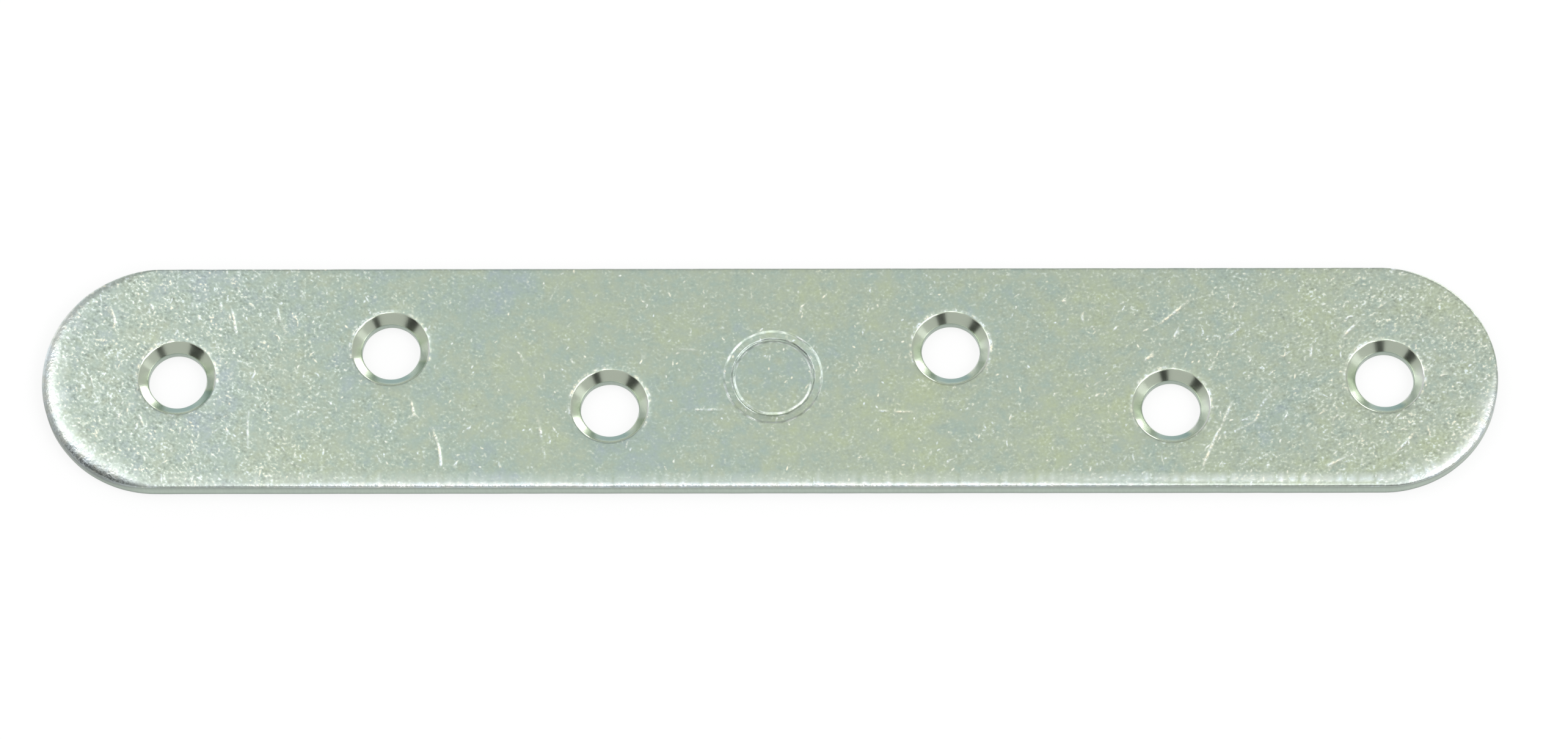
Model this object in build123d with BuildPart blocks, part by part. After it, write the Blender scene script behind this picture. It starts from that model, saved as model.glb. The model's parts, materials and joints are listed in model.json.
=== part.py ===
from build123d import *
import os

# A flat mending plate: a strip of plated sheet steel with round ends, which is screwed across
# the joint between two boards that meet end to end. Its screw holes are countersunk from the
# face and zigzag along the strip, so that no two neighbours share one line of grain.
#
# The plate lies on its back. X runs along it, Y across it and Z up, the way the screws come
# out. The origin is the middle of the underside. All sizes are in millimetres.

# The strip, as it is blanked from the sheet
plate_length = 100.0
plate_width = 16.0
sheet_thickness = 1.5

# The blanking punch draws the edge of the face down, and the die leaves the back nearly sharp
rolled_edge_radius = 0.35
back_edge_break = 0.08

# Each screw hole: a straight bore under a cone for the screw's head
bore_diameter = 4.0
countersink_diameter = 5.35
countersink_angle = 90.0

# Where the holes sit. The end holes are set in from the two ends, and not by the same amount,
# because the parting cut comes a little to one side of the pattern.
left_end_margin = 9.35
right_end_margin = 7.75
inner_hole_spacing = 23.4
middle_hole_outset = 0.22
hole_stagger = 2.1

# A blank round coined into the face beside the middle of the pattern
blank_diameter = 6.7
blank_depth = 0.1
blank_wall_angle = 60.0
blank_offset = -0.5

# The hole pattern's own middle and reach follow from the ends of the strip
left_hole_x = -plate_length / 2 + left_end_margin
right_hole_x = plate_length / 2 - right_end_margin
pattern_middle_x = (left_hole_x + right_hole_x) / 2
end_hole_reach = (right_hole_x - left_hole_x) / 2

# The inner holes straddle the boards' joint, and each middle hole comes just outside the
# halfway point between its neighbours
inner_hole_reach = inner_hole_spacing / 2
middle_hole_reach = (inner_hole_reach + end_hole_reach) / 2 + middle_hole_outset


def zigzag_places():
    # Half a turn about the pattern's middle carries the holes on one side onto the other side
    places = []
    for side in (-1, 1):
        places.append((pattern_middle_x + side * inner_hole_reach, side * hole_stagger))
        places.append((pattern_middle_x + side * middle_hole_reach, -side * hole_stagger))
        places.append((pattern_middle_x + side * end_hole_reach, 0.0))
    return places


with BuildPart() as mending_plate:
    with BuildSketch():
        SlotOverall(plate_length, plate_width)
    extrude(amount=sheet_thickness)

    face = mending_plate.faces().sort_by(Axis.Z)[-1]
    back = mending_plate.faces().sort_by(Axis.Z)[0]
    fillet(face.outer_wire().edges(), rolled_edge_radius)
    chamfer(back.outer_wire().edges(), back_edge_break)

    with BuildSketch(Plane.XY.offset(sheet_thickness)):
        with Locations((pattern_middle_x + blank_offset, 0)):
            Circle(blank_diameter / 2)
    extrude(amount=-blank_depth, taper=blank_wall_angle, mode=Mode.SUBTRACT)

    with Locations(Plane.XY.offset(sheet_thickness)):
        with Locations(*zigzag_places()):
            CounterSinkHole(
                radius=bore_diameter / 2,
                counter_sink_radius=countersink_diameter / 2,
                counter_sink_angle=countersink_angle,
            )

mending_plate.part.label = "mending_plate"
os.makedirs("parts", exist_ok=True)
export_step(mending_plate.part, "parts/mending_plate.step")
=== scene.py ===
import json
import math
import random

import bmesh
import bpy
from mathutils import Matrix, Vector, noise
from mathutils.geometry import delaunay_2d_cdt


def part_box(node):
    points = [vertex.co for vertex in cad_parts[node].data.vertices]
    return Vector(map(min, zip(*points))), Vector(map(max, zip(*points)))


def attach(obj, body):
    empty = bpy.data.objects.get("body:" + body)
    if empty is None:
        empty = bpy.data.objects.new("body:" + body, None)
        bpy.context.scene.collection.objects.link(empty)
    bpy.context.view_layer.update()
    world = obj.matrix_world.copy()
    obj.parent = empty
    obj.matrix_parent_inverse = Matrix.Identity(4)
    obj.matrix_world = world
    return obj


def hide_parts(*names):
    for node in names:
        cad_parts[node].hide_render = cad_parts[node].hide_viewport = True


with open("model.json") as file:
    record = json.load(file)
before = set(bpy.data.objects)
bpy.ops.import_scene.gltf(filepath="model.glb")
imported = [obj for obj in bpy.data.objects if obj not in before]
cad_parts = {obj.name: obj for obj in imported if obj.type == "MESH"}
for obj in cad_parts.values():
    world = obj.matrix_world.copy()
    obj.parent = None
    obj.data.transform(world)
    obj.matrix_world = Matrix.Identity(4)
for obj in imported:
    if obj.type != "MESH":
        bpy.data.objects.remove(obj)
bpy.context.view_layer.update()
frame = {"record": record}

mm = 0.001
nodeName = "mending_plate"
boxLow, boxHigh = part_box(nodeName)
length = boxHigh.x - boxLow.x
width = boxHigh.y - boxLow.y
thickness = boxHigh.z - boxLow.z
halfRun = (length - width) / 2        # the straight part, from the middle to where an end begins
bores = [mount for mount in frame["record"]["mounts"] if mount["kind"] == "bore"]
boreSpots = sorted((Vector(bore["pos_m"]).xy for bore in bores), key=lambda spot: spot.x)
boreRadius = bores[0]["dims"]["r_mm"] * mm
print("frame loaded:", nodeName, round(length / mm, 2), "x", round(width / mm, 2), "mm")


def addObject(name, data):
    added = bpy.data.objects.new(name, data)
    bpy.context.scene.collection.objects.link(added)
    return added


# The camera looks down on the face from a little right of the middle

cameraPlan = {
    "azimuth": 2.5,              # degrees round from the front
    "elevation": 69.5,           # degrees above the floor
    "roll": -2.42,               # degrees, levels the strip in the view again
    "distance": 550 * mm,
    "frameWidth": 107.6 * mm,    # what the view spans at the face
    "aim": (1.05 * mm, 0.53 * mm),
    "sensor": 36.0,
    "clip": (0.01, 20.0),        # metres, the nearest and the farthest that it sees
}


def makeCamera(plan):
    data = bpy.data.cameras.new("camera")
    data.sensor_width = plan["sensor"]
    data.lens = plan["sensor"] * plan["distance"] / plan["frameWidth"]
    data.clip_start, data.clip_end = plan["clip"]
    camera = addObject("camera", data)
    around = math.radians(plan["azimuth"])
    above = math.radians(plan["elevation"])
    back = Vector((math.sin(around) * math.cos(above), -math.cos(around) * math.cos(above),
                   math.sin(above)))
    target = Vector((*plan["aim"], boxHigh.z))
    turn = (-back).to_track_quat("-Z", "Y").to_matrix().to_4x4()
    camera.matrix_world = Matrix.Translation(target + back * plan["distance"]) @ turn \
        @ Matrix.Rotation(math.radians(plan["roll"]), 4, "Z")
    bpy.context.scene.camera = camera


makeCamera(cameraPlan)
print("camera placed")


# Helpers for materials

def linearColour(hexCode):
    # sRGB hex to the linear values that shader sockets take
    channels = [int(hexCode[i:i + 2], 16) / 255 for i in (1, 3, 5)]
    return [c / 12.92 if c <= 0.04045 else ((c + 0.055) / 1.055) ** 2.4 for c in channels] + [1.0]


def addNode(tree, kind, settings=None):
    # One node. Each setting is a property, or an input by its name or number. An input is linked
    # where the setting is another node's output.
    node = tree.nodes.new("ShaderNode" + kind)
    for name, value in (settings or {}).items():
        if isinstance(value, bpy.types.NodeSocket):
            tree.links.new(value, node.inputs[name])
        elif isinstance(name, int) or name in node.inputs:
            node.inputs[name].default_value = value
        else:
            setattr(node, name, value)
    return node


def addMath(tree, operation, *values, clamp=False):
    # a calculation on numbers and outputs; in MULTIPLY_ADD the third is added to the product
    node = addNode(tree, "Math", {"operation": operation, "use_clamp": clamp,
                                  **dict(enumerate(values))})
    return node.outputs[0]


def addNoise(tree, where, size, fine, rough=0.5, warp=0.0):
    node = addNode(tree, "TexNoise", {"Vector": where, "Scale": 1 / size, "Detail": fine,
                                      "Roughness": rough, "Distortion": warp})
    return node.outputs["Fac"]


def addRange(tree, value, before, after=(0, 1), easing="LINEAR"):
    # carries what lies between the first two numbers to between the other two, and no further
    node = addNode(tree, "MapRange", {"interpolation_type": easing, "Value": value,
                                      "From Min": before[0], "From Max": before[1],
                                      "To Min": after[0], "To Max": after[1]})
    return node.outputs[0]


def addPatches(tree, where, plan):
    return addRange(tree, addNoise(tree, where, *plan["noise"]), plan["span"], plan["strength"])


def addMix(tree, share, first, second):
    # two colours mixed, each a hex code or an output
    colours = [linearColour(one) if isinstance(one, str) else one for one in (first, second)]
    node = addNode(tree, "Mix", {"data_type": "RGBA", 0: share, 6: colours[0], 7: colours[1]})
    return node.outputs[2]


def addRamp(tree, place, stops, blend="LINEAR"):
    # a colour ramp, whose stops are each a place from 0 to 1 and a hex colour
    node = addNode(tree, "ValToRGB", {"Fac": place})
    ramp = node.color_ramp
    ramp.interpolation = blend
    while len(ramp.elements) < len(stops):
        ramp.elements.new(0.5)
    for element, (at, colour) in zip(ramp.elements, stops):
        element.position = at
        element.color = linearColour(colour)
    return node.outputs[0]


def addAttribute(tree, name):
    return addNode(tree, "Attribute", {"attribute_name": name}).outputs["Fac"]


def addBump(tree, height, deep, under=None, sunk=False):
    # relief, so many mm deep, on top of the relief under it
    settings = {"Height": height, "Distance": deep * mm, "invert": sunk}
    if under is not None:
        settings["Normal"] = under
    return addNode(tree, "Bump", settings).outputs[0]


def addPlace(tree):
    # the place in mm
    place = addNode(tree, "TexCoord")
    inMm = addNode(tree, "VectorMath", {"operation": "SCALE", 0: place.outputs["Object"],
                                        "Scale": 1 / mm})
    return inMm.outputs[0]


def newMaterial(name):
    material = bpy.data.materials.new(name)
    material.use_nodes = True
    material.node_tree.nodes.clear()
    return material, material.node_tree


def endMetal(tree, colour, roughness, relief):
    surface = addNode(tree, "BsdfPrincipled", {"Metallic": 1.0, "Base Color": colour,
                                               "Roughness": roughness, "Normal": relief})
    addNode(tree, "OutputMaterial", {"Surface": surface.outputs[0]})


# Bright zinc plate with a clear passivate over cold-rolled sheet, tumbled in a barrel with its
# fellows. To the eye it is a pale green-grey satin, clouded blue and olive by the passivate, with
# countless bright little strokes where the plates knocked together, most of them near the ends.
# The plating's crystals are too fine to show, so the grain is drawn as coarse as it needs to be.
# A noise is given as its size in mm, how fine it is and, where that isn't 0.5, how rough it is.

tumbledFinish = {
    # the passivate's tints, blue, green, rose and olive, each with its place among them
    "tints": [(0.0, "#ABBBBD"), (0.42, "#AEBFB1"), (0.58, "#B4C1B0"), (1.0, "#BBC7A8")],
    "tintSpan": 0.88,            # how much of the clouds' range they cover
    "cloud": (1.0, 4.0, 0.65),   # the noise of the clouds
    "cloudShare": 1.2,           # how much they change the tint, against the drift's 1
    "drift": (7.0, 2.0),         # the noise of the slow change of tint along the strip
    "driftMiddle": 0.47,         # about what the drift comes to
    "driftAlong": 0.28,          # how far the tint goes from blue to olive between the two ends
    "hazed": "#DBDDD6",          # what much rubbing turns the tints to, and how far
    "haze": 0.14,
    "ground": 0.88,              # the ground between the strokes, as a share of the tints
    "rise": 0.055,               # how much brighter it is where it is most rubbed
    # how worn the face is along the strip: white is as much as it can be
    "wear": [(0.0, "#FFFFFF"), (0.12, "#F3F3F3"), (0.2, "#C8C8C8"), (0.32, "#858585"),
             (0.45, "#9B9B9B"), (0.7, "#9E9E9E"), (0.85, "#CBCBCB"), (1.0, "#F4F4F4")],
    # patches of more or less wear, each of them so strong between two heights of a noise
    "patches": {"noise": (1.3, 2.0, 0.6), "span": (0.3, 0.7), "strength": (0.35, 1.65)},
    # the rubbed grain, in mm: a grain's length and thickness, the noise of those that lie no way
    # at all, and the share of those. "lies" is its way in radians at the left end and at the
    # right, "noise" how fine, how rough and how warped it is, and "depth" how far light and dark
    # lie apart at the ends
    "grain": {"long": 0.26, "thick": 0.18, "round": (0.19, 1.0, 0.4), "mixed": 0.4,
              "lies": (2.6, 0.3), "noise": (1.0, 0.4, 0.25), "depth": 1.35},
    # the heights between which a grain turns into a bright fleck, partly wear and partly a painted
    # sparkle, and how bright that is
    "flecks": {"height": (0.54, 0.72), "share": 0.92},
    # the strokes in two layers, in mm: the spacing, half length and half width of a stroke, where
    # its layer begins, its bend, the spread of its way in radians, and how many there are
    "strokes": [
        {"cell": 0.5, "long": 0.16, "thick": 0.07, "shift": (3.7, 1.11), "bend": 1.6,
         "spread": 2.4, "share": 0.34},
        {"cell": 1.1, "long": 0.3, "thick": 0.065, "shift": (8.1, 2.43), "bend": 0.4,
         "spread": 1.3, "share": 0.25},
    ],
    "leans": (1.95, 0.85),       # radians, the way most strokes lie at the left end and the right
    "scatter": 0.9,              # how unevenly they are strewn
    "shortest": 0.6,             # the shortest stroke, as a share of the longest
    "strokeFade": (1.25, 0.5),   # from where its end or side is faint to where it is full
    # the crumbs that break up the strokes, and what they leave of them
    "crumbs": {"noise": (0.16, 1.0), "span": (0.36, 0.56), "strength": (0.2, 1.0)},
    "scratchGain": 1.7,          # the listed scratches show more than the strokes
    "strokeWarm": "#FAF6DE",
    "strokeCool": "#E9F4F7",
    # where the strokes are warm, at 0, and where cool, at 1
    "tones": {"noise": (1.0, 3.0, 0.7), "span": (0.42, 0.58), "strength": (0.0, 1.0)},
    "rubbedAndHighlightColour": "#E3EDF2",      # the lightened edges, partly wear and partly a painted highlight, and their share of it over the strokes' tones
    "rubbedAndHighlightShare": 0.6,
    # the colour of the painted shade that the mesh's shade layer lays on
    "shadeColour": "#5A6260",
    "roughness": (0.35, 0.29),   # as it is, and where it is rubbed
    # relief in mm: the plated grain, the strokes, and dents along the rubbed edges
    "grainDepth": 0.002,
    "strokeDepth": 0.004,
    "dents": (0.2, 2.0),
    "dentDepth": 0.05,
}


def addTint(tree, where, along, finish):
    # the passivate: small clouds on a slow drift, which leans to olive along the strip
    cloud = addNoise(tree, where, *finish["cloud"])
    drift = addNoise(tree, where, *finish["drift"])
    hue = addMath(tree, "MULTIPLY_ADD", cloud, finish["cloudShare"], drift)
    hueAlong = addMath(tree, "MULTIPLY_ADD", along, finish["driftAlong"], hue)
    middle = (finish["cloudShare"] + finish["driftAlong"]) / 2 + finish["driftMiddle"]
    reach = finish["tintSpan"] / 2
    onTints = addRange(tree, hueAlong, (middle - reach, middle + reach))
    return addRamp(tree, onTints, finish["tints"])


def addGrain(tree, where, along, grain):
    # The rubbed grain's height. It lies one way at the left end and another at the right, so the
    # two meet and weaken each other in the middle.
    heights = []
    for lean in grain["lies"]:
        laid = addNode(tree, "VectorRotate", {"rotation_type": "Z_AXIS", "Vector": where,
                                              "Angle": -lean})
        drawn = addNode(tree, "VectorMath", {"operation": "MULTIPLY", 0: laid.outputs[0],
                                             1: (1 / grain["long"], 1 / grain["thick"], 1)})
        heights.append(addNoise(tree, drawn.outputs[0], 1, *grain["noise"]))
    lying = addNode(tree, "Mix", {0: along, 2: heights[0], 3: heights[1]})
    crystal = addNoise(tree, where, *grain["round"])
    return addNode(tree, "Mix", {0: grain["mixed"], 2: lying.outputs[0], 3: crystal}).outputs[0]


def addStrokes(tree, where, lean, wear, layer, finish):
    # one short curved stroke in each cell, from 0 beside it to at most 1 on it
    shifted = addNode(tree, "VectorMath", {"operation": "ADD", 0: where,
                                           1: (*layer["shift"], 0)}).outputs[0]
    cell = addNode(tree, "TexVoronoi", {"voronoi_dimensions": "2D", "Vector": shifted,
                                        "Scale": 1 / layer["cell"],
                                        "Randomness": finish["scatter"]}).outputs
    local = addNode(tree, "VectorMath", {"operation": "SUBTRACT", 0: shifted,
                                         1: cell["Position"]})
    pick = addNode(tree, "SeparateColor", {0: cell["Color"]}).outputs
    spin = addMath(tree, "MULTIPLY_ADD", pick[0], layer["spread"], lean)
    turned = addNode(tree, "VectorRotate", {"rotation_type": "Z_AXIS",
                                            "Vector": local.outputs[0], "Angle": spin})
    apart = addNode(tree, "SeparateXYZ", {0: turned.outputs[0]}).outputs
    square = addMath(tree, "MULTIPLY", apart[0], apart[0])
    bend = addMath(tree, "MULTIPLY_ADD", pick[1], 2 * layer["bend"], -layer["bend"])
    across = addMath(tree, "MULTIPLY_ADD", square, bend, apart[1])
    thin = addMath(tree, "DIVIDE", across, layer["thick"])
    reach = addMath(tree, "MULTIPLY_ADD", pick[1], (1 - finish["shortest"]) * layer["long"],
                    finish["shortest"] * layer["long"])
    along = addMath(tree, "DIVIDE", apart[0], reach)
    spot = addNode(tree, "CombineXYZ", {0: along, 1: thin})
    off = addNode(tree, "VectorMath", {"operation": "LENGTH", 0: spot.outputs[0]})
    body = addRange(tree, off.outputs["Value"], finish["strokeFade"])
    share = addMath(tree, "MULTIPLY", wear, layer["share"])
    return addMath(tree, "MULTIPLY", body, addRange(tree, pick[2], (share, 0)))


def zincTumbled(finish):
    material, tree = newMaterial("zincPlateTumbled")
    where = addPlace(tree)
    # 0 at the left end and 1 at the right
    along = addRange(tree, addNode(tree, "SeparateXYZ", {0: where}).outputs["X"],
                     (-length / 2 / mm, length / 2 / mm))
    tint = addTint(tree, where, along, finish)
    grain = addGrain(tree, where, along, finish["grain"])

    # how much the face is rubbed, along the strip and in patches
    wear = addRamp(tree, along, finish["wear"], "B_SPLINE")
    rubbing = addMath(tree, "MULTIPLY", wear, addPatches(tree, where, finish["patches"]))

    # light and dark grain on a ground that is paler and brighter towards the ends
    offMiddle = addMath(tree, "SUBTRACT", grain, 0.5)
    depth = addMath(tree, "MULTIPLY", rubbing, finish["grain"]["depth"])
    nearEnds = addMath(tree, "POWER", wear, 2.0)
    ground = addMath(tree, "MULTIPLY_ADD", nearEnds, finish["rise"], finish["ground"])
    light = addMath(tree, "MULTIPLY_ADD", offMiddle, depth, ground)
    hazeShare = addMath(tree, "MULTIPLY", nearEnds, finish["haze"])
    hazed = addMix(tree, hazeShare, tint, finish["hazed"])
    grained = addNode(tree, "VectorMath", {"operation": "SCALE", 0: hazed, "Scale": light})

    # the highest grains are rubbed bright, partly wear and partly a painted sparkle
    flecks = finish["flecks"]
    high = addRange(tree, grain, flecks["height"], easing="SMOOTHSTEP")
    fleckShare = addMath(tree, "MULTIPLY", rubbing, flecks["share"])
    flecked = addMath(tree, "MULTIPLY", high, fleckShare, clamp=True)

    # over them lie the scratches that the mesh holds, with the painted highlight of the holes' rims
    # in the same layer, and the short strokes, all a little broken up
    crumbled = addPatches(tree, where, finish["crumbs"])
    scored = addMath(tree, "MULTIPLY", addAttribute(tree, "scratchAndRimHighlight"), finish["scratchGain"])
    scratched = addMath(tree, "MULTIPLY", scored, crumbled, clamp=True)
    strokes = addMath(tree, "MAXIMUM", flecked, scratched)
    for layer in finish["strokes"]:
        ways = [-lean - layer["spread"] / 2 for lean in finish["leans"]]
        lean = addRange(tree, along, (0, 1), ways)
        one = addStrokes(tree, where, lean, rubbing, layer, finish)
        strokes = addMath(tree, "MAXIMUM", strokes, addMath(tree, "MULTIPLY", one, crumbled))
    warmCool = addMix(tree, addPatches(tree, where, finish["tones"]), finish["strokeWarm"],
                      finish["strokeCool"])
    stroked = addMix(tree, strokes, grained.outputs[0], warmCool)

    # lightened and darkened where the mesh says so, along the edges, the rims and the blank round:
    # lightened partly by wear and partly as a painted highlight, darkened as painted shade
    rubbedAndHighlight = addAttribute(tree, "rubbedAndHighlight")
    brightened = addMix(tree, finish["rubbedAndHighlightShare"], warmCool, finish["rubbedAndHighlightColour"])
    bright = addMix(tree, rubbedAndHighlight, stroked, brightened)
    coloured = addMix(tree, addAttribute(tree, "shade"), bright, finish["shadeColour"])
    rubbedAndSheen = addMath(tree, "MAXIMUM", strokes, rubbedAndHighlight)
    gloss = addRange(tree, rubbedAndSheen, (0, 1), finish["roughness"])

    # relief: the grain stands up, the strokes are cut in, and the rubbed edges are dented
    relief = addBump(tree, grain, finish["grainDepth"])
    relief = addBump(tree, strokes, finish["strokeDepth"], relief, sunk=True)
    dents = addMath(tree, "MULTIPLY", addNoise(tree, where, *finish["dents"]), rubbedAndHighlight)
    relief = addBump(tree, dents, finish["dentDepth"], relief)
    endMetal(tree, coloured, gloss, relief)
    return material


# The same plate in the countersinks, where the punch coined the steel smooth. It is bright and
# shows soft dark and light patches of the room, with only a faint drag from the punch. Its colour
# is painted light and shade round each hole: a darker teal on one side as painted shade, nearly
# colourless beside it as a painted reflection, and pale olive elsewhere.

coinedFinish = {
    "tints": [(0.0, "#8EA8A2"), (0.5, "#D0DAC8"), (1.0, "#EEF2EE")],      # painted shade in teal, olive, and a nearly colourless painted reflection
    "patch": (0.9, 2.0),         # the noise of duller and brighter patches
    "roughness": (0.16, 0.26),   # of the brightest and of the dullest
    "drag": (0.12, 1.0),         # the noise of the punch's drag, and how deep it is in mm
    "dragDepth": 0.001,
}


def zincCoined(finish):
    material, tree = newMaterial("zincPlateCoined")
    where = addPlace(tree)
    # its colour is the painted light and shade that the mesh's layer holds
    colour = addRamp(tree, addAttribute(tree, "paintedConeLight"), finish["tints"])
    gloss = addRange(tree, addNoise(tree, where, *finish["patch"]), (0, 1), finish["roughness"])
    relief = addBump(tree, addNoise(tree, where, *finish["drag"]), finish["dragDepth"])
    endMetal(tree, colour, gloss, relief)
    return material


# The same plate on the sheared sides. The cut left them duller than the face, with fine lines
# that run the way the punch went.

shearedFinish = {
    "greys": ("#A2AFA3", "#B3C1B4"),
    # painted shade, laid where the mesh's shade layer says
    "shadeColour": "#58655C",
    "roughness": 0.36,
    "lineSize": 0.15,            # mm, the punch's lines, how long they are and how deep
    "lineLength": 1.2,
    "lineDepth": 0.003,
}


def zincSheared(finish):
    material, tree = newMaterial("zincPlateSheared")
    place = addNode(tree, "TexCoord").outputs["Object"]
    fine = 1 / (finish["lineSize"] * mm)
    stretched = addNode(tree, "VectorMath", {"operation": "MULTIPLY", 0: place,
                                             1: (fine, fine, 1 / (finish["lineLength"] * mm))})
    lines = addNoise(tree, stretched.outputs[0], 1, 2.0)
    metal = addMix(tree, lines, *finish["greys"])
    # darkened with painted shade where the mesh's shade layer says
    colour = addMix(tree, addAttribute(tree, "shade"), metal, finish["shadeColour"])
    endMetal(tree, colour, finish["roughness"], addBump(tree, lines, finish["lineDepth"]))
    return material


finishes = [zincTumbled(tumbledFinish), zincCoined(coinedFinish), zincSheared(shearedFinish)]
tumbled, coined, sheared = range(len(finishes))
print("materials made")


# The strip: rings round its outline and round each hole, with flat faces filled between them.
# A sway is a list of waves, each its length, its seed, and how far it goes to either side.

def sway(spot, waves):
    # what the waves come to at a place
    return sum(reach * noise.noise(Vector((spot[0] / size, spot[1] / size, seed)))
               for size, seed, reach in waves)


def smooth(share):
    share = min(1, max(0, share))
    return share * share * (3 - 2 * share)


def addRing(mesh, layer, points):
    # each point is a place and how bright it is rubbed, which is kept in that layer
    ring = []
    for place, bright in points:
        vertex = mesh.verts.new(place)
        vertex[layer] = bright
        ring.append(vertex)
    return ring


def bridge(mesh, outer, inner, finish):
    count = len(outer)
    for i in range(count):
        j = (i + 1) % count
        mesh.faces.new((outer[i], outer[j], inner[j], inner[i])).material_index = finish


def walkOutline(step):
    # evenly spaced stations round the strip: a point on its spine and the way outward from it
    radius = width / 2
    lap = 4 * halfRun + 2 * math.pi * radius
    count = round(lap / step)
    stations = []
    for i in range(count):
        s = lap * i / count
        if s < 2 * halfRun:
            stations.append((Vector((s - halfRun, 0)), Vector((0, -1))))
            continue
        s -= 2 * halfRun
        if s < math.pi * radius:
            angle = s / radius - math.pi / 2
            stations.append((Vector((halfRun, 0)), Vector((math.cos(angle), math.sin(angle)))))
            continue
        s -= math.pi * radius
        if s < 2 * halfRun:
            stations.append((Vector((halfRun - s, 0)), Vector((0, 1))))
            continue
        angle = (s - 2 * halfRun) / radius + math.pi / 2
        stations.append((Vector((-halfRun, 0)), Vector((math.cos(angle), math.sin(angle)))))
    return stations


# The edge. The way outward from the strip is 1 at the back and -1 at the front, and where two
# numbers say how something fades in, they are where it begins and over what reach.

edgeShape = {
    "station": 0.2 * mm,         # spacing along the outline
    # the rolled edge's width and its fall at the side: along the back, along the front, and at
    # the two ends, where the parting punch dragged more of it down
    "backRoll": (0.18 * mm, 0.1 * mm),
    "sideRoll": (0.41 * mm, 0.18 * mm),
    "leftRoll": (1.15 * mm, 0.62 * mm),
    "rightRoll": (0.75 * mm, 0.28 * mm),
    "leftBack": 0.5,             # the back of the left end is rolled that much less
    "rightNarrower": 0.35,       # and the front that much narrower towards the right
    "rollSteps": 10,
    "rollSway": [(3 * mm, 1, 0.16), (0.4 * mm, 2, 0.2)],
    "fallSway": [(0.8 * mm, 3, 0.1)],
    # before the roll the face leans down a little: how wide, and how far at the back, at the
    # front and at the right of the front
    "leanWidth": 0.8 * mm,
    "leanFalls": (0.008 * mm, 0.03 * mm, 0.065 * mm),
    "leanShares": (0, 0.25, 0.5, 0.75),
    "leanSway": [(0.5 * mm, 13, 0.25), (2.5 * mm, 14, 0.4)],
    "rightFront": (12 * mm, 22 * mm),       # where the front changes towards the right
    "leftFront": (26 * mm, 12 * mm),        # and towards the left, from the middle
    # where it is rubbed and lightened, partly wear and partly a painted highlight that is strongest
    # towards the front: at the left end, elsewhere, and a little along the back
    "rubbedAndSheenLeft": (1.1, 0.7),
    "rubbedAndSheenElsewhere": (0.15, 0.5),
    "rubbedAndSheenBack": (0.3, 0.5),
    "backBright": 0.2,
    "patchSway": [(0.4 * mm, 2, 1)],
    # how brightly the lean and the roll are lightened, partly wear and partly a painted highlight
    "leanBright": (0.2, 0.45),   # how bright the lean is, and how much more at the right
    "leanPatches": 1.5,          # how much that comes and goes
    "rollBright": 0.8,
    "rollPatches": 0.5,
    "rollGain": 1.6,             # how soon the roll is bright
    "frontDimmer": 0.6,          # how much less bright towards the two ends of the front
    # painted shade: on the steep foot of the roll, on the left end's, and where round the outline
    # it begins
    "footShade": 0.35,
    "leftShade": 0.85,
    "footFront": (0.4, 0.8),
    "footFrom": 0.35,            # how far down the roll it begins
    "endShadeOnSide": 0.8,              # how much of the left end's painted shade is on its side as well
    # how far below the roll and above the back edge the side is darkened with painted shade, and
    # how much
    "shadeUnderRoll": ((0.01 * mm, 0.8), (0.1 * mm, 0.35)),
    "shadeAboveBack": ((0.25 * mm, 0.1), (0.1 * mm, 0.5), (0.03 * mm, 0.8)),
    "backBreak": 0.07 * mm,
    "sideStray": 0.01 * mm,      # how far in the sheared side stands, give or take as much
    "straySway": [(1.5 * mm, 4, 1)],
    "margin": 0.1 * mm,          # a flat rim beside the lean and the broken edge
}


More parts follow.
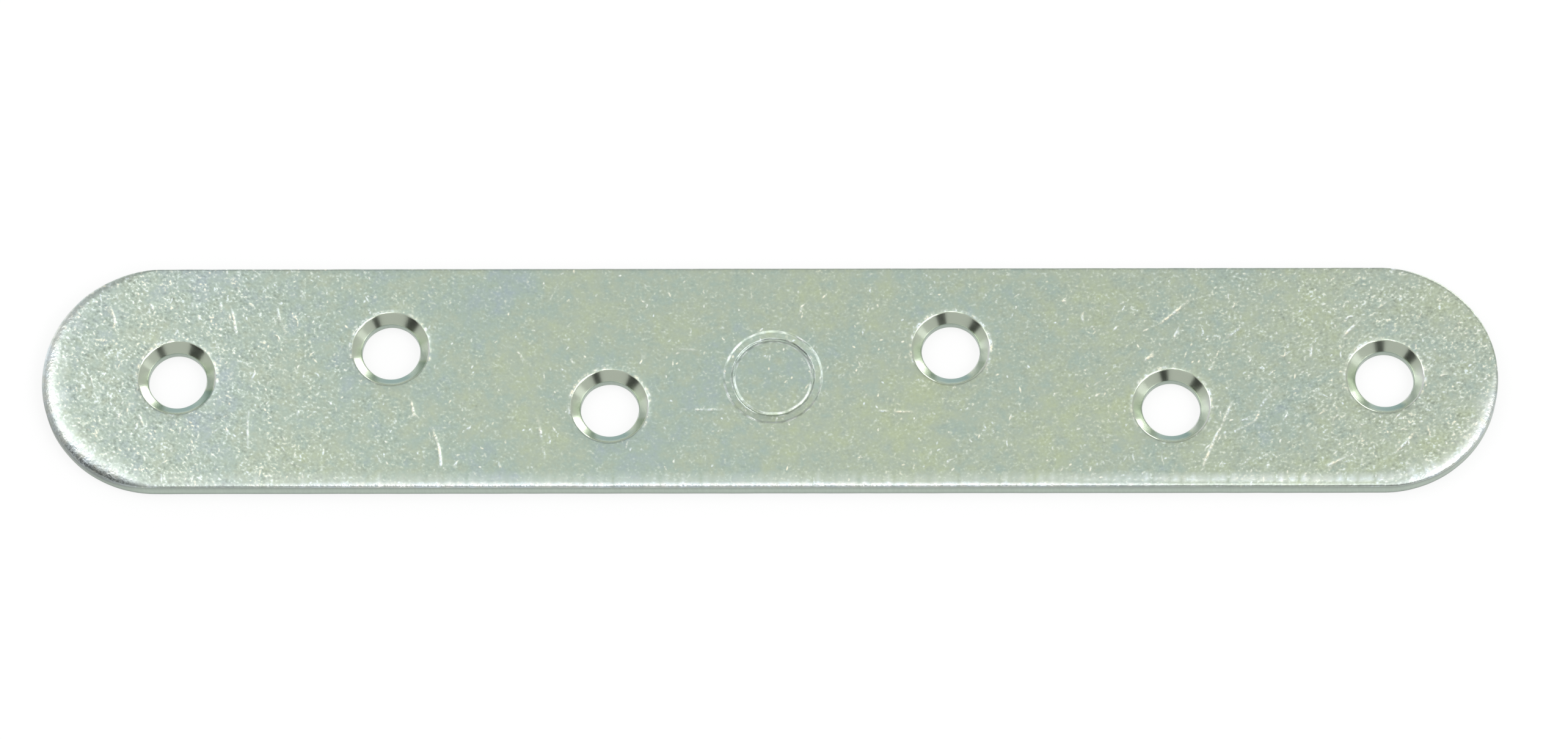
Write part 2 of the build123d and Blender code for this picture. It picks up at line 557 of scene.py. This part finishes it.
def edgeRings(mesh, rubbedAndHighlight, shade, shape):
    # from the face, over the rolled edge and down the side, to the back
    def fadeIn(value, span):
        return smooth((value - span[0]) / span[1])

    columns = []
    for spine, out in walkOutline(shape["station"]):
        spot = spine + out * width / 2
        patches = sway(spot, shape["patchSway"])
        atLeft = out.x < 0
        end = smooth(2 * abs(out.x))
        front = smooth(0.5 - out.y)
        toRight = front * fadeIn(spot.x, shape["rightFront"]) * (1 - end)
        toLeft = front * fadeIn(-spot.x, shape["leftFront"]) * (1 - end)
        # how rubbed and how brightly painted the edge is, mostly towards the front where the glint
        # falls
        begin, over = shape["rubbedAndSheenLeft" if atLeft else "rubbedAndSheenElsewhere"]
        rubbedAndSheen = min(1, max(0, (begin - out.y) / over))
        rubbedAndSheen = max(rubbedAndSheen, shape["backBright"] * fadeIn(out.y, shape["rubbedAndSheenBack"]))

        # the roll's width and fall, and the lean before it
        roll, fall = (back + (ahead - back) * front
                      for back, ahead in zip(shape["backRoll"], shape["sideRoll"]))
        wide = end * (1 - shape["leftBack"] * smooth(out.y) if atLeft else rubbedAndSheen)
        endRoll, endFall = shape["leftRoll" if atLeft else "rightRoll"]
        roll += (endRoll - roll) * wide
        fall += (endFall - fall) * wide
        roll *= (1 - shape["rightNarrower"] * toRight) * (1 + sway(spot, shape["rollSway"]))
        fall *= 1 + sway(spot, shape["fallSway"])
        lean = shape["leanWidth"]
        backSunk, frontSunk, rightSunk = shape["leanFalls"]
        sunk = backSunk + (frontSunk - backSunk) * front + (rightSunk - frontSunk) * toRight
        sunk *= 1 + sway(spot, shape["leanSway"])

        # each place down the column: inset from the side, drop from the face, lightening (partly
        # wear, partly painted highlight), painted shade
        column = [(roll + lean + shape["margin"], 0, 0, 0)]
        base, more = shape["leanBright"]
        for share in shape["leanShares"]:
            bright = (base + more * toRight) * share * rubbedAndSheen * (1 + shape["leanPatches"] * patches)
            column.append((roll + lean * (1 - share), sunk * share * share, bright, 0))
        # the steep foot of the roll is darkened with painted shade, most at the left end and none
        # at the back
        foot = shape["footShade"]
        foot += (shape["leftShade"] - foot) * (end if atLeft else 0)
        begin, over = shape["footFront"]
        foot *= smooth((begin - out.y) / over)
        stray = shape["sideStray"] * (1 + sway(spot, shape["straySway"]))
        # the roll's lightening: partly wear and partly a painted highlight
        rollSheen = (shape["rollBright"] + shape["rollPatches"] * patches) * rubbedAndSheen
        rollSheen *= 1 - shape["frontDimmer"] * (toRight + toLeft)
        first = math.atan(2 * sunk / lean * roll / fall)      # the roll goes on from the lean
        for k in range(shape["rollSteps"] + 1):
            turn = first + (math.pi / 2 - first) * k / shape["rollSteps"]
            gone = (math.sin(turn) - math.sin(first)) / (1 - math.sin(first))
            low = (2 * turn / math.pi - shape["footFrom"]) / (1 - shape["footFrom"])
            column.append((stray + (roll - stray) * (1 - gone),
                           sunk + fall * (1 - math.cos(turn) / math.cos(first)),
                           min(1, shape["rollGain"] * math.sin(turn)) * rollSheen,
                           foot * smooth(low)))

        # the sheared side and the back edge, which is a little broken
        corner = sunk + fall
        broken = shape["backBreak"]
        bottom = thickness - broken
        # the side is darkened with painted shade just under the roll and above and on the back
        # edge, more at the left end
        moreShade = max(0, foot - shape["footShade"]) * shape["endShadeOnSide"]
        (near, nearShade), (below, belowShade) = shape["shadeUnderRoll"]
        (high, highShade), (mid, midShade), (last, lastShade) = shape["shadeAboveBack"]
        column += [(stray, corner + near, 0, nearShade),
                   (stray, corner + below, 0, belowShade + moreShade),
                   (stray, (corner + bottom) / 2, 0, moreShade),
                   (stray, bottom - high, 0, highShade + moreShade),
                   (stray, bottom - mid, 0, midShade),
                   (stray, bottom - last, 0, lastShade),
                   (stray + 0.3 * broken, bottom + 0.6 * broken, 0, 1),
                   (stray + broken, thickness, 0, 1),
                   (stray + broken + shape["margin"], thickness, 0, 0)]
        columns.append([((*(spine + out * (width / 2 - inset)), boxHigh.z - drop), bright, shadeLevel)
                        for inset, drop, bright, shadeLevel in column])
    rings = []
    for level in zip(*columns):
        ring = addRing(mesh, rubbedAndHighlight, [(place, bright) for place, bright, shadeLevel in level])
        for vertex, (place, bright, shadeLevel) in zip(ring, level):
            vertex[shade] = shadeLevel
        rings.append(ring)
    sideStart = 1 + len(shape["leanShares"]) + shape["rollSteps"]      # the ring at the roll's foot
    for number, (above, below) in enumerate(zip(rings, rings[1:])):
        onSide = sideStart <= number < len(rings) - 2
        bridge(mesh, below, above, sheared if onSide else tumbled)
    return rings[0], rings[-1]


# Each hole. A way is an angle in radians round the hole, from the right towards the back. Where
# three numbers say how something shows on one side, they are its way, the cosine of the angle off
# it at which it begins, and over what reach of the cosine it comes to the full.

holeShape = {
    "steps": 144,
    "margin": 0.1 * mm,          # a flat ring round the dish
    "dishReach": 0.85 * mm,      # the punch drew the face down a little round the rim
    "dishDepth": 0.018 * mm,
    "dishSway": [(2 * mm, 6, 0.5)],
    # how far in across the dish, and how brightly it is lightened there as a painted highlight
    "dishSteps": ((0.3, 0), (0.55, 0), (0.78, 0.04), (0.9, 0.35), (0.97, 0.9)),
    "rimRadius": 2.675 * mm,
    "rimSway": [(0.7 * mm, 7, 0.004)],
    "rimRound": 0.3 * mm,        # radius over which the face turns into the cone
    "roundSway": [(2 * mm, 9, 0.3), (0.45 * mm, 5, 0.45)],
    "rimSteps": 6,
    # the ways on which the rim is lightened as a painted highlight, and what the cosine is scaled
    # and lowered by
    "sheenWays": ((0.26, 1.3, 0.6), (2.6, 0.9, 0.2)),
    "rubbedAndSheen": 0.45,
    "rubbedAndSheenSway": [(0.3 * mm, 10, 1.8)],
    "coneShares": (0.1, 0.3, 0.5, 0.7, 0.9, 1),
    # where the punch leaned and left the cone flatter, how far to each side, and how much
    "leanWay": 3.75,
    "leanSpread": 0.75,
    "leanLift": 0.13 * mm,
    "toe": 0.03 * mm,            # how softly the cone turns into the bore
    "backBreak": 0.22 * mm,      # how far the bore's edge is broken at the back
    "backSway": [(2 * mm, 15, 0.3)],
    "coinedSteps": 3,            # steps of the rim's turn that the punch smoothed too
    "coneShade": (4.95, 0.5, 0.5),     # where the cone is painted darker teal as shade
    "coneShadeOnRim": (0.1, 2.4),        # how much of it is on the rim, and how fast it grows
    "brightened": (5.95, 0.72, 0.25),      # where the cone is painted nearly colourless as a reflection
    "coneBrightening": (0.6, 12),           # how far it is painted colourless in the middle, and how much more a metre rightwards
    "brightest": (6.25, 0.93, 0.06),    # where every hole is painted lighter still, and by how much
    "brighter": 0.8,
    "moreShade": (1.5, 0.5, 0.4),         # where the bore is darkened with painted shade, and how much
    "landShade": 0.22,
}


def holeRings(mesh, scratchAndRimHighlight, shade, paintedConeLight, shape, centre):
    # from the face, over the rim, down the cone and the bore, to the back
    def shownAt(angle, plan):
        way, begin, over = plan
        return smooth((math.cos(angle - way) - begin) / over)

    angles = [2 * math.pi * i / shape["steps"] for i in range(shape["steps"])]
    columns = []
    for angle in angles:
        out = Vector((math.cos(angle), math.sin(angle)))
        spot = centre + out * shape["rimRadius"]
        bend = shape["rimRound"] * (1 + sway(spot, shape["roundSway"]))
        dish = shape["dishDepth"] * (1 + sway(spot, shape["dishSway"]))
        rim = shape["rimRadius"] * (1 + sway(spot, shape["rimSway"]))
        # the rim is lightened on two sides only, a painted highlight
        facing = max(0, *(gain * math.cos(angle - way) - less
                          for way, gain, less in shape["sheenWays"]))
        rubbedAndSheen = min(1, max(0, shape["rubbedAndSheen"] + sway(spot, shape["rubbedAndSheenSway"]))) * facing

        # each place down the column: radius, drop from the face, painted highlight
        outer = shape["rimRadius"] + shape["dishReach"]
        start = rim + bend * math.tan(math.pi / 8)
        column = [(outer + shape["margin"], 0, 0), (outer, 0, 0)]
        for share, bright in shape["dishSteps"]:
            column.append((outer + (start - outer) * share, dish * share * share, bright * rubbedAndSheen))
        for k in range(shape["rimSteps"] + 1):
            share = k / shape["rimSteps"]
            tilt = math.pi / 4 * share
            column.append((start - bend * math.sin(tilt), dish + bend * (1 - math.cos(tilt)),
                           (1 - share) * rubbedAndSheen))
        rimEnd, rimDrop, _ = column[-1]
        toe = shape["toe"]
        coneDrop = dish + rim - boreRadius
        off = abs(angle - shape["leanWay"]) / shape["leanSpread"]
        lift = shape["leanLift"] * math.cos(min(1, off) * math.pi / 2) ** 2
        for share in shape["coneShares"]:
            column.append((rimEnd + (boreRadius + toe - rimEnd) * share,
                           rimDrop + (coneDrop - toe - rimDrop) * share - lift * share, 0))
        boreTop = coneDrop - lift
        broken = shape["backBreak"] * (1 + sway(spot, shape["backSway"]))
        column += [(boreRadius + 0.3 * toe, boreTop, 0),
                   (boreRadius, boreTop + toe, 0),
                   (boreRadius, boreTop + 2 * toe, 0),
                   (boreRadius, thickness - broken - toe, 0),
                   (boreRadius, thickness - broken, 0),
                   (boreRadius + 0.3 * broken, thickness - 0.3 * broken, 0),
                   (boreRadius + broken, thickness, 0),
                   (boreRadius + broken + 2 * toe, thickness, 0)]
        columns.append([((*(centre + out * radius), boxHigh.z - drop), bright)
                        for radius, drop, bright in column])
    rings = [addRing(mesh, scratchAndRimHighlight, level) for level in zip(*columns)]

    # the cone's painted light and shade goes from 0, painted darker teal as shade, to 1, painted
    # nearly colourless as a reflection
    coneStart = 2 + len(shape["dishSteps"]) + shape["rimSteps"]      # the ring at the rim's end
    coneEnd = coneStart + len(shape["coneShares"])
    middling, perMetre = shape["coneBrightening"]
    coneBrightening = middling + perMetre * centre.x
    onRim, growth = shape["coneShadeOnRim"]
    for number, ring in enumerate(rings):
        down = max(0, (number - coneStart) / len(shape["coneShares"]))
        # the painted shade is faint on the rim and full further down the cone
        thick = min(1, onRim + growth * down)
        for angle, vertex in zip(angles, ring):
            coneShade = thick * shownAt(angle, shape["coneShade"])
            brightened = shownAt(angle, shape["brightened"])
            brightest = shownAt(angle, shape["brightest"])
            vertex[paintedConeLight] = (0.5 - 0.5 * coneShade) * (1 - brightened) \
                + min(1, coneBrightening + shape["brighter"] * brightest) * brightened
            # the bore's land is darkened with painted shade on one side
            if number > coneEnd:
                vertex[shade] = shape["landShade"] * shownAt(angle, shape["moreShade"])
    for number, (above, below) in enumerate(zip(rings, rings[1:])):
        onCone = coneStart - shape["coinedSteps"] <= number < coneEnd
        onFlat = number < coneStart or number >= len(rings) - 2
        bridge(mesh, above, below, coined if onCone else tumbled if onFlat else sheared)
    return rings[0], rings[-1]


# The blank round beside the middle: a coined disc with a low ledge and a groove round its floor

blankShape = {
    "offset": -0.5 * mm,         # from the middle of the hole pattern
    "depth": 0.1 * mm,
    # each wall from the face to its floor: its radius, its width and how much deeper it goes, as
    # a share of the depth. The last rises again, so a fine groove runs round the floor
    "walls": [(3.35 * mm, 0.2 * mm, 0.6), (2.83 * mm, 0.17 * mm, 0.95),
              (2.64 * mm, 0.2 * mm, -0.55)],
    "wallSteps": 7,
    "steps": 128,
    "margin": 0.06 * mm,
    "straySway": [(1.2 * mm, 8, 0.03 * mm)],       # how far its walls stray, all alike
    "strayRadius": 3 * mm,
    # how brightly its walls are lightened as a painted highlight
    "rubbedAndSheen": 0.35,
    "rubbedAndSheenSway": [(0.5 * mm, 12, 0.9)],
}


def blankRings(mesh, rubbedAndHighlight, shape, centre):
    # each place down its soft walls: radius, drop as a share of the depth, and a painted highlight
    # along the middle of each wall
    profile = []
    fallen = 0
    for radius, wall, part in shape["walls"]:
        for k in range(shape["wallSteps"] + 1):
            share = k / shape["wallSteps"]
            profile.append((radius + (0.5 - share) * wall, fallen + part * smooth(share),
                            4 * share * (1 - share)))
        fallen += part
    profile.insert(0, (profile[0][0] + shape["margin"], 0, 0))
    profile.append((profile[-1][0] - shape["margin"], fallen, 0))
    rings = []
    for radius, drop, bright in profile:
        points = []
        for i in range(shape["steps"]):
            angle = 2 * math.pi * i / shape["steps"]
            out = Vector((math.cos(angle), math.sin(angle)))
            stray = sway(centre + out * shape["strayRadius"], shape["straySway"])
            rubbedAndSheen = shape["rubbedAndSheen"] + sway(centre + out * radius, shape["rubbedAndSheenSway"])
            points.append(((*(centre + out * (radius + stray)),
                            boxHigh.z - shape["depth"] * drop), min(1, max(0, rubbedAndSheen)) * bright))
        rings.append(addRing(mesh, rubbedAndHighlight, points))
    for above, below in zip(rings, rings[1:]):
        bridge(mesh, above, below, tumbled)
    return rings[0], rings[-1]


# Scratches and nicks in the face, in mm from the middle of the plate

wearPlan = {
    "seed": 5,
    "nicks": 130,
    "inMiddle": 0.04,            # the share of the nicks that the middle keeps
    "crowding": 1.8,             # how strongly the others crowd towards the ends
    "leans": (1.75, 0.75),       # radians, the way they lie at the left end and at the right
    "leanSpread": 0.5,
    "nickLength": (0.25, 0.9),
    "nickShorter": (0.5, 1),     # a share of that again
    "nickBend": (-0.15, 0.15),   # how far its middle stands off, as a share of its length
    "nickWidth": (0.084, 0.132),
    "nickDepth": (0.01, 0.024),
    "nickStrength": 0.75,
    "pointSpacing": 0.13,        # along each mark
    "rows": (-1, -0.5, 0, 0.5, 1),       # of points across it, as shares of its width
    "blunt": 0.02,               # how blunt it begins, as a share of its length
    "steep": 1.3,                # how steeply it falls away to its sides
    "breakSize": 0.625,          # how finely the marks are broken up
    "scratchWidth": 0.14,
    "scratchDepth": 0.026,
    # scratches listed one by one, each how strong it is and a few places along it
    "scratches": [
        (1.0, [(-37.0, 4.9), (-36.8, 4.0), (-36.65, 3.1)]),
        (0.45, [(-37.2, 4.7), (-37.0, 4.0)]),
        (0.75, [(-45.3, 5.5), (-45.1, 4.4), (-45.1, 3.6)]),
        (0.75, [(-42.9, 6.1), (-42.6, 5.4), (-42.4, 4.9)]),
        (0.45, [(-39.8, 5.9), (-39.7, 4.5)]),
        (0.45, [(-37.8, 5.6), (-37.7, 4.1)]),
        (0.6, [(-33.9, 5.2), (-33.7, 4.3), (-33.3, 3.4)]),
        (0.6, [(-32.5, 7.0), (-32.1, 6.0)]),
        (0.7, [(-43.2, -2.7), (-42.8, -3.6)]),
        (0.3, [(-35.6, -2.0), (-35.7, -3.6), (-35.6, -5.4)]),
        (0.95, [(-24.5, -1.8), (-24.3, -2.7)]),
        (1.15, [(-22.95, -4.0), (-22.6, -4.9), (-22.4, -6.2), (-22.5, -6.9), (-22.9, -7.25)]),
        (0.45, [(-15.8, -3.0), (-15.5, -4.6), (-15.2, -6.6)]),
        (0.6, [(-6.2, 2.05), (-5.1, 2.0)]),
        (0.35, [(-6.0, -2.35), (-4.4, -2.4), (-2.9, -2.35)]),
        (0.3, [(7.5, -2.5), (8.9, -2.55), (10.0, -2.6)]),
        (0.9, [(25.8, 1.15), (26.2, 1.5)]),
        (0.85, [(28.9, 5.6), (27.9, 4.7), (26.8, 3.8)]),
        (0.9, [(32.4, 3.6), (31.7, 3.0)]),
        (0.95, [(31.7, -1.9), (31.3, -2.9), (30.5, -4.6), (29.9, -6.0), (29.4, -7.2)]),
        (0.55, [(34.5, -1.1), (33.7, -2.2), (33.3, -3.2), (31.9, -4.0)]),
        (0.8, [(39.6, -5.8), (38.4, -6.4), (37.3, -6.8)]),
        (0.7, [(44.2, -4.0), (43.6, -4.8), (42.9, -5.5)]),
        (0.8, [(40.3, 3.8), (39.4, 2.9)]),
        (0.7, [(39.5, -0.2), (38.3, -0.7)]),
    ],
}


def drawNicks(plan):
    # short nicks at random, most of them near the ends
    draw = random.Random(plan["seed"])
    reach = length / 2 / mm
    nicks = []
    while len(nicks) < plan["nicks"]:
        x = draw.uniform(-reach, reach)
        outward = (abs(x) / reach) ** plan["crowding"]
        if draw.random() > plan["inMiddle"] + (1 - plan["inMiddle"]) * outward:
            continue
        y = draw.uniform(-0.5, 0.5) * width / mm
        share = (x + reach) / (2 * reach)
        atLeft, atRight = plan["leans"]
        lean = atLeft * (1 - share) + atRight * share + draw.gauss(0, plan["leanSpread"])
        size = draw.uniform(*plan["nickLength"]) * draw.uniform(*plan["nickShorter"])
        along = Vector((math.cos(lean), math.sin(lean))) * size
        bend = Vector((-along.y, along.x)) * draw.uniform(*plan["nickBend"])
        start = Vector((x, y))
        nicks.append(([start, start + along / 2 + bend, start + along],
                      draw.uniform(*plan["nickWidth"]), draw.uniform(*plan["nickDepth"]),
                      plan["nickStrength"]))
    return nicks


def wearMarks(plan):
    # every scratch and nick as rows of points: a place, how deep it is there, how burnished
    paths = [([Vector(place) for place in path], plan["scratchWidth"], plan["scratchDepth"],
              strength) for strength, path in plan["scratches"]]
    points = []
    for places, wide, deep, strength in paths + drawNicks(plan):
        for number, (a, b) in enumerate(zip(places, places[1:])):
            before = places[number - 1] if number else a
            after = places[number + 2] if number + 2 < len(places) else b
            along = (b - a).normalized()
            across = Vector((-along.y, along.x))
            count = max(2, round((b - a).length / plan["pointSpacing"]))
            for i in range(count):
                t = i / count
                # a smooth curve through the places
                spot = 0.5 * ((2 * a) + (b - before) * t
                              + (2 * before - 5 * a + 4 * b - after) * t * t
                              + (3 * a - before - 3 * b + after) * t * t * t)
                whole = (number + t) / (len(places) - 1)
                taper = math.sqrt(max(0, math.sin(math.pi * min(1, whole + plan["blunt"]))))
                broken = strength + sway(spot, [(plan["breakSize"], 3, 1)])
                shown = taper * min(1, max(0, broken))
                for row in plan["rows"]:
                    near = (1 - abs(row)) ** plan["steep"]
                    points.append((spot + across * row * wide, deep * shown * near, shown * near))
    return points


# The flat faces between the rings, and the whole strip

fillPlan = {
    "spacing": 0.6 * mm,         # of the points on the face; the back's lie twice as far apart
    "jitter": (0.3, 0.7),        # where in its cell each lies
    "seed": 7,
    "pointGap": 0.2 * mm,        # how far they stay from the rings, and how far the marks do
    "markGap": 0.08 * mm,
    "backInset": 0.25 * mm,      # how far they stay from the back's edge
    "rollRoom": 1.3,             # the room the roll takes where it sways, against its width
    "slack": 0.01 * mm,          # how far into the flat ring round a hole they may come
    "closest": 1e-5,             # points nearer than this many mm are one
}


def fillFlat(mesh, scratchAndRimHighlight, loops, level, inside, marks, spacing, upward):
    # triangles between the first loop and those inside it, with loose points spread between
    corners = [vertex for loop in loops for vertex in loop]
    edges = []
    start = 0
    for loop in loops:
        edges += [(start + i, start + (i + 1) % len(loop)) for i in range(len(loop))]
        start += len(loop)
    for spot, deep, bright in marks:
        place = spot * mm
        if inside(place, fillPlan["markGap"]):
            vertex = mesh.verts.new((*place, level - deep * mm))
            vertex[scratchAndRimHighlight] = bright
            corners.append(vertex)
    draw = random.Random(fillPlan["seed"])
    for i in range(int(length / spacing)):
        for k in range(int(width / spacing)):
            place = Vector((boxLow.x + (i + draw.uniform(*fillPlan["jitter"])) * spacing,
                            boxLow.y + (k + draw.uniform(*fillPlan["jitter"])) * spacing))
            if inside(place, fillPlan["pointGap"]):
                corners.append(mesh.verts.new((*place, level)))
    flat = [vertex.co.xy / mm for vertex in corners]
    _, _, triangles, origins, _, _ = delaunay_2d_cdt(flat, edges, [], 1, fillPlan["closest"])
    loopOf = {vertex: number for number, loop in enumerate(loops[1:]) for vertex in loop}
    for triangle in triangles:
        picked = [corners[origins[index][0]] for index in triangle]
        owners = {loopOf.get(vertex) for vertex in picked}
        if len(owners) == 1 and None not in owners:
            continue        # this one would close a hole
        mesh.faces.new(picked if upward else picked[::-1]).material_index = tumbled


def makeStrip():
    mesh = bmesh.new()
    rubbedAndHighlight, shade, paintedConeLight, scratchAndRimHighlight = (mesh.verts.layers.float.new(name)
                                     for name in ("rubbedAndHighlight", "shade", "paintedConeLight", "scratchAndRimHighlight"))
    faceLoop, backLoop = edgeRings(mesh, rubbedAndHighlight, shade, edgeShape)
    holes = [holeRings(mesh, scratchAndRimHighlight, shade, paintedConeLight, holeShape, centre) for centre in boreSpots]
    faceHoles, backHoles = ([hole[k] for hole in holes] for k in (0, 1))
    blankCentre = Vector(((boreSpots[0].x + boreSpots[-1].x) / 2 + blankShape["offset"], 0))
    blankTop, blankFloor = blankRings(mesh, rubbedAndHighlight, blankShape, blankCentre)

    # what the points on the faces keep clear of: the edge, and discs round the holes
    def reachOf(loop, centre, pick):
        return pick((vertex.co.xy - centre).length for vertex in loop)

    faceDiscs = [(centre, reachOf(loop, centre, max)) for centre, loop in zip(boreSpots, faceHoles)]
    faceDiscs.append((blankCentre, reachOf(blankTop, blankCentre, max)))
    backDiscs = [(centre, reachOf(loop, centre, max)) for centre, loop in zip(boreSpots, backHoles)]
    floorReach = reachOf(blankFloor, blankCentre, min)

    def onStrip(place, discs, gap, inset):
        beyond = Vector((max(0, abs(place.x) - halfRun), place.y))
        return beyond.length < width / 2 - inset - gap and all(
            (place - centre).length > radius - fillPlan["slack"] + gap for centre, radius in discs)

    def onFace(place, gap):
        straight = abs(place.x) < halfRun
        kind = "sideRoll" if straight else "leftRoll" if place.x < 0 else "rightRoll"
        roll = fillPlan["rollRoom"] * edgeShape[kind][0]
        return onStrip(place, faceDiscs, gap, roll + edgeShape["leanWidth"] + edgeShape["margin"])

    marks = wearMarks(wearPlan)
    spacing = fillPlan["spacing"]
    fillFlat(mesh, scratchAndRimHighlight, [faceLoop, *faceHoles, blankTop], boxHigh.z, onFace, marks, spacing,
             True)
    fillFlat(mesh, scratchAndRimHighlight, [blankFloor], boxHigh.z - blankShape["depth"],
             lambda place, gap: (place - blankCentre).length < floorReach - gap,
             marks, spacing, True)
    fillFlat(mesh, scratchAndRimHighlight, [backLoop, *backHoles], boxLow.z,
             lambda place, gap: onStrip(place, backDiscs, gap, fillPlan["backInset"]),
             [], 2 * spacing, False)
    for vertex in [vertex for vertex in mesh.verts if not vertex.link_faces]:
        mesh.verts.remove(vertex)
    bmesh.ops.recalc_face_normals(mesh, faces=mesh.faces)
    for face in mesh.faces:
        face.smooth = True
    data = bpy.data.meshes.new("plate")
    mesh.to_mesh(data)
    mesh.free()
    strip = addObject("plate", data)
    for finish in finishes:
        data.materials.append(finish)
    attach(strip, "root")
    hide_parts(nodeName)
    print("strip made:", len(data.vertices), "points,", len(data.polygons), "faces")


makeStrip()


def addSheet(name, corners, material):
    # one flat face, with its four corners in metres
    data = bpy.data.meshes.new(name)
    data.from_pydata(corners, [], [range(4)])
    data.materials.append(material)
    return addObject(name, data)


# The floor is white paper: the eye and the metal see it white, and it keeps a soft shadow

floorPlan = {
    "size": 6.0,                 # metres
    "white": "#FFFFFF",
    "glow": 0.8,                 # share of its white that doesn't depend on what falls on it
    "gap": 0.01 * mm,            # just under the strip
}


def makeFloor(plan):
    material, tree = newMaterial("whitePaper")
    white = linearColour(plan["white"])
    paper = addNode(tree, "BsdfDiffuse", {"Color": white})
    glow = addNode(tree, "Emission", {"Color": white, "Strength": 1.0})
    seen = addNode(tree, "LightPath").outputs
    direct = addMath(tree, "MAXIMUM", seen["Is Camera Ray"], seen["Is Glossy Ray"])
    either = addMath(tree, "MAXIMUM", direct, seen["Is Transmission Ray"])
    share = addMath(tree, "MULTIPLY", either, plan["glow"])
    both = addNode(tree, "MixShader", {0: share, 1: paper.outputs[0], 2: glow.outputs[0]})
    addNode(tree, "OutputMaterial", {"Surface": both.outputs[0]})
    half = plan["size"] / 2
    corners = [(-half, -half, 0), (half, -half, 0), (half, half, 0), (-half, half, 0)]
    floor = addSheet("floor", corners, material)
    floor.location.z = boxLow.z - plan["gap"]


# Plain studio light: a pale room, wide soft boxes overhead with a bright strip in front, and small
# cards low down that the countersinks pick up

lightPlan = {
    # the room's brightness low and high, and how high those are, from 0 level to 1 straight up
    "room": (0.6, 0.62),
    "roomSpan": (0.1, 0.6),
    "height": 0.45,
    "step": 0.02,                # each box hangs this much of the height below the one before
    # each overhead box: its reach to the left, right, back and front, per height, and how bright
    "boxes": {
        "softBox": (-1.3, 1.0, 0.58, -0.06, 0.48),
        "frontStrip": (-0.125, 0.12, -0.15, -0.62, 3.2),
        "leftBox": (-1.3, -0.32, 0.55, -0.12, 1.0),
        "rightBox": (0.45, 1.3, 0.05, -0.95, 2.2),
    },
    # a low window behind on the right: the way to it in degrees, then in metres its distance,
    # width and height, and its brightness
    "window": (56.0, 0.9, 0.53, 0.24, 3.4),
    # each card in metres: its place, width, lowest and highest point, and its grey level
    "cards": {
        "darkRight": (0.083, -0.168, 0.06, 0.02, 0.13, 0.03),
        "darkLeft": (-0.168, -0.110, 0.088, 0.02, 0.16, 0.03),
        "paleRight": (0.485, -0.12, 0.16, 0.0, 0.16, 1.1),
    },
}


def makeRoom(plan):
    world = bpy.data.worlds.new("room")
    bpy.context.scene.world = world
    world.use_nodes = True
    tree = world.node_tree
    tree.nodes.clear()
    toward = addNode(tree, "TexCoord").outputs["Generated"]
    upward = addNode(tree, "SeparateXYZ", {0: toward}).outputs["Z"]
    level = addRange(tree, upward, plan["roomSpan"], plan["room"])
    room = addNode(tree, "Background", {"Color": (1, 1, 1, 1), "Strength": level})
    addNode(tree, "OutputWorld", {"Surface": room.outputs[0]})


def addLamp(name, wide, deep, bright, place):
    lamp = bpy.data.lights.new(name, "AREA")
    lamp.shape = "RECTANGLE"
    lamp.size = wide
    lamp.size_y = deep
    lamp.energy = bright * math.pi * wide * deep
    addObject(name, lamp).matrix_world = place


def addCard(name, x, y, wide, low, high, grey):
    # a card that stands facing the strip, and that only the metal sees
    material, tree = newMaterial(name)
    flat = addNode(tree, "Emission", {"Color": (grey, grey, grey, 1), "Strength": 1.0})
    addNode(tree, "OutputMaterial", {"Surface": flat.outputs[0]})
    along = Vector((-y, x, 0)).normalized() * wide / 2
    left, right = Vector((x, y, 0)) - along, Vector((x, y, 0)) + along
    card = addSheet(name, [(*left.xy, low), (*right.xy, low), (*right.xy, high),
                           (*left.xy, high)], material)
    card.visible_camera = False
    card.visible_diffuse = False
    card.visible_shadow = False


def makeLights(plan):
    for number, (name, box) in enumerate(plan["boxes"].items()):
        left, right, back, front, bright = box
        high = plan["height"] * (1 - plan["step"] * number)
        place = Vector(((left + right) / 2 * high, (back + front) / 2 * high, high))
        addLamp(name, (right - left) * high, (back - front) * high, bright,
                Matrix.Translation(place))
    way, far, wide, tall, bright = plan["window"]
    turn = Matrix.Rotation(math.radians(way - 90), 4, "Z")
    upright = Matrix.Rotation(-math.pi / 2, 4, "X")
    addLamp("window", wide, tall, bright, turn @ Matrix.Translation((0, far, tall / 2)) @ upright)
    for name, card in plan["cards"].items():
        addCard(name, *card)


makeFloor(floorPlan)
makeRoom(lightPlan)
makeLights(lightPlan)
bpy.context.scene.view_settings.view_transform = "Standard"
print("floor and lights made")
